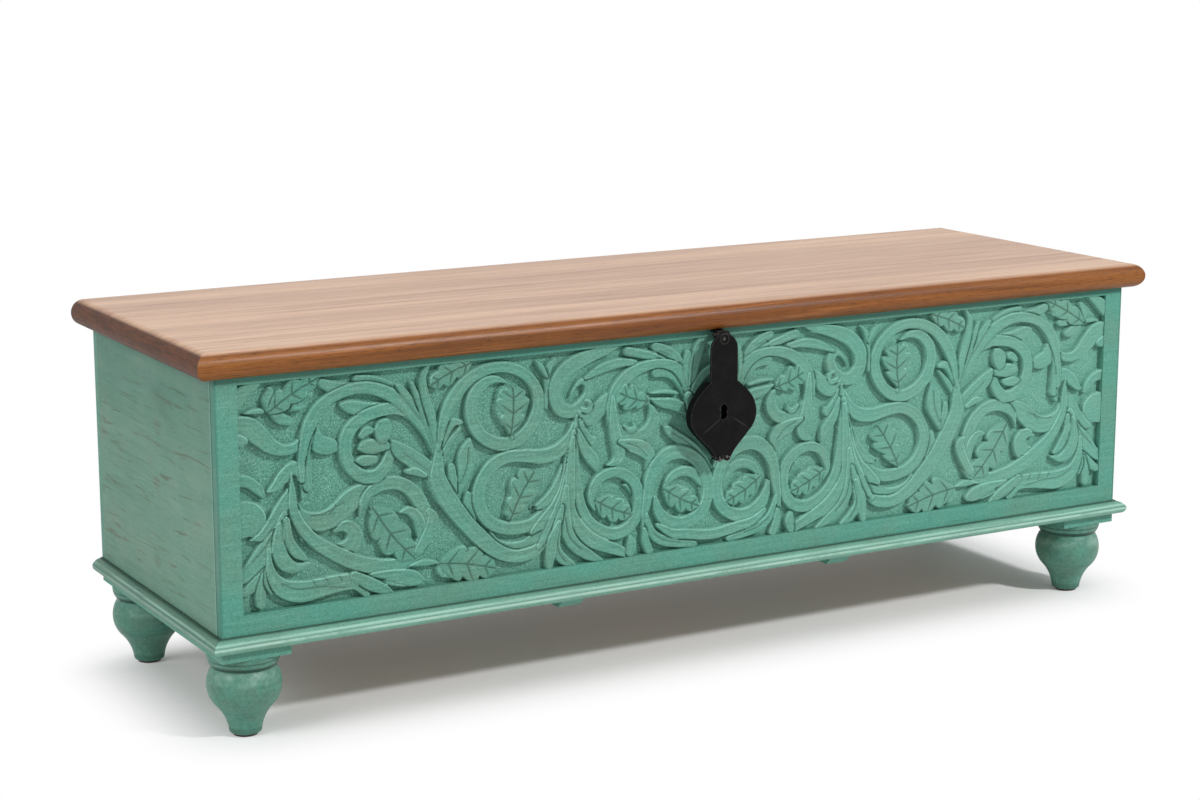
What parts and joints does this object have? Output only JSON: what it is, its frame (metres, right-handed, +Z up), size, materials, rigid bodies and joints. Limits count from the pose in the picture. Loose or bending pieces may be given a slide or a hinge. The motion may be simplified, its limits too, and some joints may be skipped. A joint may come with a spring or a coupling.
{
  "type": "carved wooden trunk",
  "caption": "Low rectangular storage trunk on turned feet, with a carved front, a thick round-edged lid that opens on hinges, and an iron hasp lock.",
  "frame": {"origin": "on the floor, under the middle of the whole trunk's box", "axes": "+X to the trunk's right as seen from its carved front, +Y from the front to the back, +Z up"},
  "size_m": [1.142, 0.3684, 0.387],
  "materials": {
    "painted_wood": "rubbed teal paint over wood",
    "lid_wood": "satin varnish over orange-brown wood",
    "plain_wood": "bare sawn wood",
    "black_iron": "satin black",
    "hinge_steel": "dull aged steel",
    "nail_steel": "plain steel",
    "glide": "dull dark brown"
  },
  "bodies": {
    "chest": {"front_panel": "painted_wood", "back_panel": "painted_wood", "side_panel_left": "painted_wood", "side_panel_right": "painted_wood", "base_moulding_front": "painted_wood", "base_moulding_left": "painted_wood", "base_moulding_right": "painted_wood", "end_runner_left": "painted_wood", "end_runner_right": "painted_wood", "mid_runner_left": "painted_wood", "mid_runner_right": "painted_wood", "foot_front_left": "painted_wood", "foot_front_right": "painted_wood", "foot_back_left": "painted_wood", "foot_back_right": "painted_wood", "bottom_board": "plain_wood", "lock_keeper": "black_iron", "hinge_board_leaf_left": "hinge_steel", "hinge_board_leaf_right": "hinge_steel", "hinge_pin_left": "hinge_steel", "hinge_pin_right": "hinge_steel", "hinge_board_screws": "nail_steel", "runner_screws": "nail_steel", "corner_nails_front": "nail_steel", "corner_nails_back": "nail_steel", "moulding_brads": "nail_steel", "foot_bolt_front_left": "nail_steel", "foot_bolt_front_right": "nail_steel", "foot_bolt_back_left": "nail_steel", "foot_bolt_back_right": "nail_steel", "foot_glide_front_left": "glide", "foot_glide_front_right": "glide", "foot_glide_back_left": "glide", "foot_glide_back_right": "glide"},
    "lid": {"lid_panel": "lid_wood", "lid_batten_left": "plain_wood", "lid_batten_right": "plain_wood", "batten_screws": "nail_steel", "hinge_lid_leaf_left": "hinge_steel", "hinge_lid_leaf_right": "hinge_steel", "hinge_lid_screws": "nail_steel", "hasp_hanger": "black_iron", "hanger_screws": "nail_steel"},
    "hasp": {"hasp_case": "black_iron", "hasp_back_plate": "black_iron", "hasp_case_rivets": "black_iron", "hasp_leaf": "black_iron", "hasp_pin": "hinge_steel", "hasp_rivet": "black_iron"},
    "bolt": {"lock_bolt": "black_iron"}
  },
  "joints": [
    {"name": "lid_hinge", "type": "hinge", "parent": "chest", "child": "lid", "pos_m": [0, 0.18105, 0.36], "axis": [-1, 0, 0], "range_deg": [0, 95]},
    {"name": "hasp_hinge", "type": "hinge", "parent": "lid", "child": "hasp", "pos_m": [0, -0.17755, 0.3559], "axis": [-1, 0, 0], "range_deg": [0, 90]},
    {"name": "lock_bolt_slide", "type": "slide", "parent": "hasp", "child": "bolt", "axis": [-1, 0, 0], "range_m": [0, 0.009]}
  ]
}
